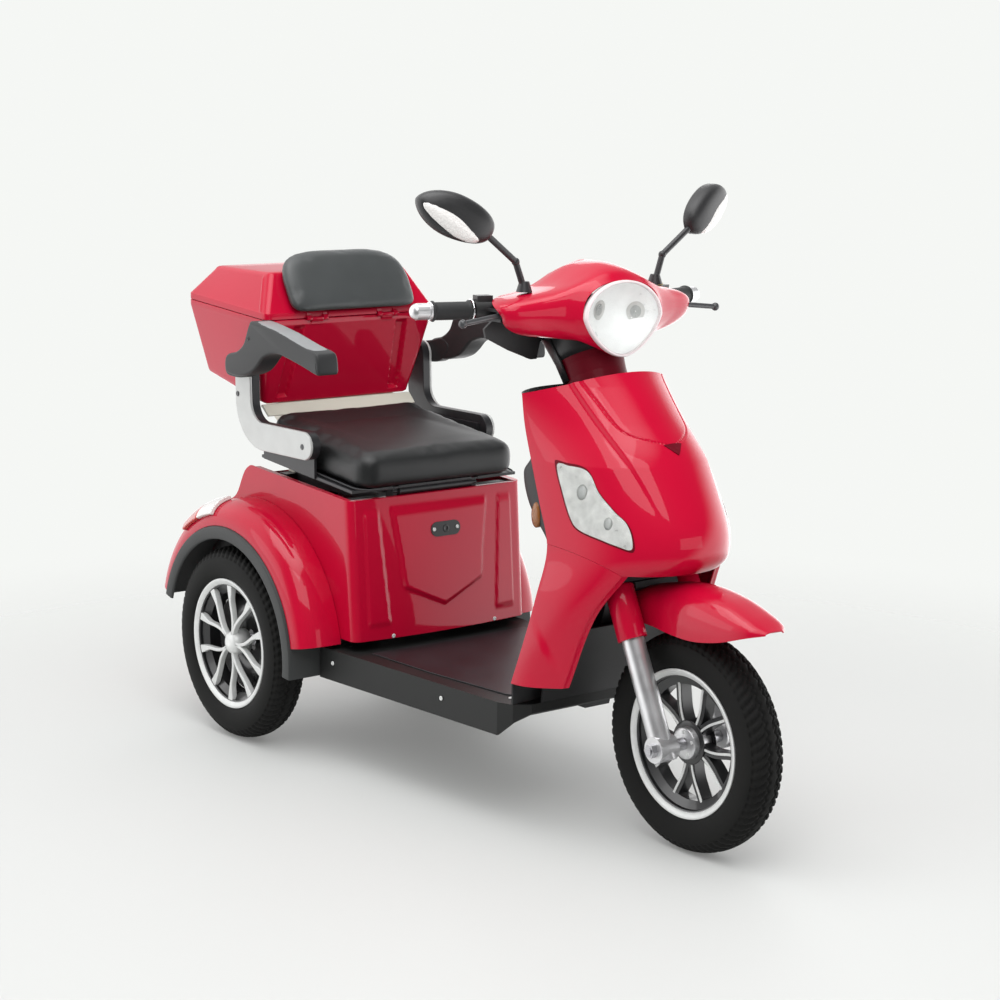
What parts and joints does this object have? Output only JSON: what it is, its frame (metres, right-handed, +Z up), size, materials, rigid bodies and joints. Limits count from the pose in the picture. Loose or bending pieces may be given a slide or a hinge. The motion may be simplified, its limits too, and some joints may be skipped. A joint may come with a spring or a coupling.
{
  "type": "mobility scooter",
  "caption": "Mobility scooter with a spoked front wheel on a telescopic fork, a padded seat with flip-up armrests and a hard trunk with a backrest behind it.",
  "frame": {"origin": "on the ground, under the middle of the scooter's box", "axes": "+X forward, +Y to the rider's left, +Z up"},
  "size_m": [1.609, 0.7402, 1.1842],
  "materials": {
    "red_panel": "high gloss",
    "dark_plastic": "grained",
    "black_plastic": "satin",
    "yellow_plastic": "satin",
    "battery": "matte",
    "black_steel": "powder coat",
    "pale_steel": "satin",
    "dark_metal": "satin",
    "steel": "brushed",
    "chrome": "polished",
    "aluminium": "satin",
    "rubber": "matte",
    "tyre": "matte",
    "leather": "grained",
    "clear_lens": "clear",
    "red_lens": "clear"
  },
  "bodies": {
    "chassis": {"main_frame": "black_steel", "seat_frame": "black_steel", "trunk_rack": "pale_steel", "footboard": "dark_plastic", "floor_mat": "rubber", "front_shield": "red_panel", "leg_panels": "red_panel", "inner_leg_shield": "dark_plastic", "wheel_well_liner": "black_plastic", "front_signal_lenses": "clear_lens", "seat_box": "red_panel", "rear_fender_right": "red_panel", "rear_fender_left": "red_panel", "wheel_arch_trims": "black_plastic", "rear_lamps": "red_lens", "tail_panel": "red_panel", "battery_pack": "battery", "controller": "aluminium", "charge_socket": "black_plastic", "head_bearings": "steel", "trunk_base": "red_panel"},
    "steering": {"steering_stem": "steel", "fork_stanchions": "chrome", "front_fender": "red_panel", "handlebar_cowl": "red_panel", "neck_cover": "red_panel", "headlight_reflector": "chrome", "headlight_lens": "clear_lens", "dashboard": "black_plastic", "grip_left": "rubber", "bar_ends": "chrome", "switch_housings": "black_plastic", "mirror_stalks": "black_steel"},
    "fork_lower": {"fork_sliders": "aluminium", "front_axle": "steel"},
    "front_wheel": {"front_tyre": "tyre", "front_rim": "aluminium"},
    "rear_axle": {"swing_arms": "black_steel", "motor_axle": "aluminium"},
    "shock_upper": {"shock_bodies": "steel", "shock_springs": "steel"},
    "shock_lower": {"shock_rods": "chrome"},
    "rear_wheel_right": {"rear_tyre_right": "tyre", "rear_rim_right": "aluminium"},
    "rear_wheel_left": {"rear_tyre_left": "tyre", "rear_rim_left": "aluminium"},
    "throttle": {"throttle_grip": "rubber"},
    "lever_right": {"brake_lever_right": "dark_metal"},
    "lever_left": {"brake_lever_left": "dark_metal"},
    "mirror_right": {"mirror_head_right": "black_plastic"},
    "mirror_left": {"mirror_head_left": "black_plastic"},
    "seat": {"seat_cushion": "leather", "seat_pan": "black_steel", "arm_brackets": "aluminium"},
    "arm_right": {"armrest_right": "dark_plastic"},
    "arm_left": {"armrest_left": "dark_plastic"},
    "trunk_top": {"trunk_lid": "red_panel", "backrest_pad": "leather"},
    "key": {"ignition_key": "steel"},
    "horn": {"horn_button": "yellow_plastic"}
  },
  "joints": [
    {"name": "steer", "type": "hinge", "parent": "chassis", "child": "steering", "pos_m": [0.6005, 0, 0.204], "axis": [-0.4226, 0, 0.9063], "range_deg": [-40, 40]},
    {"name": "fork_stroke", "type": "slide", "parent": "steering", "child": "fork_lower", "axis": [-0.4226, 0, 0.9063], "range_m": [0, 0.055], "stiffness_N_per_m": 12000, "springref_m": -0.045},
    {"name": "front_wheel_spin", "type": "hinge", "parent": "fork_lower", "child": "front_wheel", "pos_m": [0.6005, 0, 0.204], "axis": [0, 1, 0], "continuous": true},
    {"name": "rear_suspension", "type": "hinge", "parent": "chassis", "child": "rear_axle", "pos_m": [-0.2095, 0, 0.182], "axis": [0, 1, 0], "range_deg": [0, 4.5], "stiffness_Nm_per_rad": 4500, "springref_deg": -6.3},
    {"name": "shock_swing", "type": "hinge", "parent": "chassis", "child": "shock_upper", "pos_m": [-0.5545, 0, 0.47], "axis": [0, 1, 0], "range_deg": [-0.99, 0]},
    {"name": "shock_stroke", "type": "slide", "parent": "shock_upper", "child": "shock_lower", "axis": [0, 0, 1], "range_m": [0, 0.0271], "deforming": ["shock_springs"]},
    {"name": "rear_wheel_spin_right", "type": "hinge", "parent": "rear_axle", "child": "rear_wheel_right", "pos_m": [-0.5095, -0.271, 0.204], "axis": [0, 1, 0], "continuous": true},
    {"name": "rear_wheel_spin_left", "type": "hinge", "parent": "rear_axle", "child": "rear_wheel_left", "pos_m": [-0.5095, 0.271, 0.204], "axis": [0, 1, 0], "continuous": true},
    {"name": "throttle_twist", "type": "hinge", "parent": "steering", "child": "throttle", "pos_m": [0.24517, -0.19, 0.966], "axis": [-0.2924, -0.9563, 0], "range_deg": [0, 60], "stiffness_Nm_per_rad": 0.4},
    {"name": "brake_pull_right", "type": "hinge", "parent": "steering", "child": "lever_right", "pos_m": [0.2875, -0.212, 0.96], "axis": [0, 0, -1], "range_deg": [0, 18], "stiffness_Nm_per_rad": 2},
    {"name": "brake_pull_left", "type": "hinge", "parent": "steering", "child": "lever_left", "pos_m": [0.2875, 0.212, 0.96], "axis": [0, 0, 1], "range_deg": [0, 18], "stiffness_Nm_per_rad": 2},
    {"name": "mirror_tilt_right", "type": "hinge", "parent": "steering", "child": "mirror_right", "pos_m": [0.2855, -0.248, 1.107], "axis": [-0.3252, -0.8568, 0.4002], "range_deg": [-15, 15]},
    {"name": "mirror_tilt_left", "type": "hinge", "parent": "steering", "child": "mirror_left", "pos_m": [0.2855, 0.248, 1.107], "axis": [-0.3252, 0.8568, 0.4002], "range_deg": [-15, 15]},
    {"name": "seat_tilt", "type": "hinge", "parent": "chassis", "child": "seat", "pos_m": [-0.1965, 0, 0.556], "axis": [0, 1, 0], "range_deg": [0, 65]},
    {"name": "armrest_flip_right", "type": "hinge", "parent": "seat", "child": "arm_right", "pos_m": [-0.5535, -0.25, 0.78], "axis": [0, -1, 0], "range_deg": [0, 85]},
    {"name": "armrest_flip_left", "type": "hinge", "parent": "seat", "child": "arm_left", "pos_m": [-0.5535, 0.25, 0.78], "axis": [0, -1, 0], "range_deg": [0, 85]},
    {"name": "trunk_open", "type": "hinge", "parent": "chassis", "child": "trunk_top", "pos_m": [-0.4879, 0, 0.88], "axis": [0, 1, 0], "range_deg": [0, 70]},
    {"name": "key_turn", "type": "hinge", "parent": "chassis", "child": "key", "pos_m": [0.2845, -0.05, 0.655], "axis": [1, 0, 0], "range_deg": [0, 90]},
    {"name": "horn_press", "type": "slide", "parent": "steering", "child": "horn", "axis": [0, 0, -1], "range_m": [0, 0.003], "stiffness_N_per_m": 400}
  ],
  "couplings": [
    {"joint": "shock_swing", "follows": "rear_suspension", "ratio": -0.22},
    {"joint": "shock_stroke", "follows": "rear_suspension", "m_per_rad": 0.345}
  ]
}
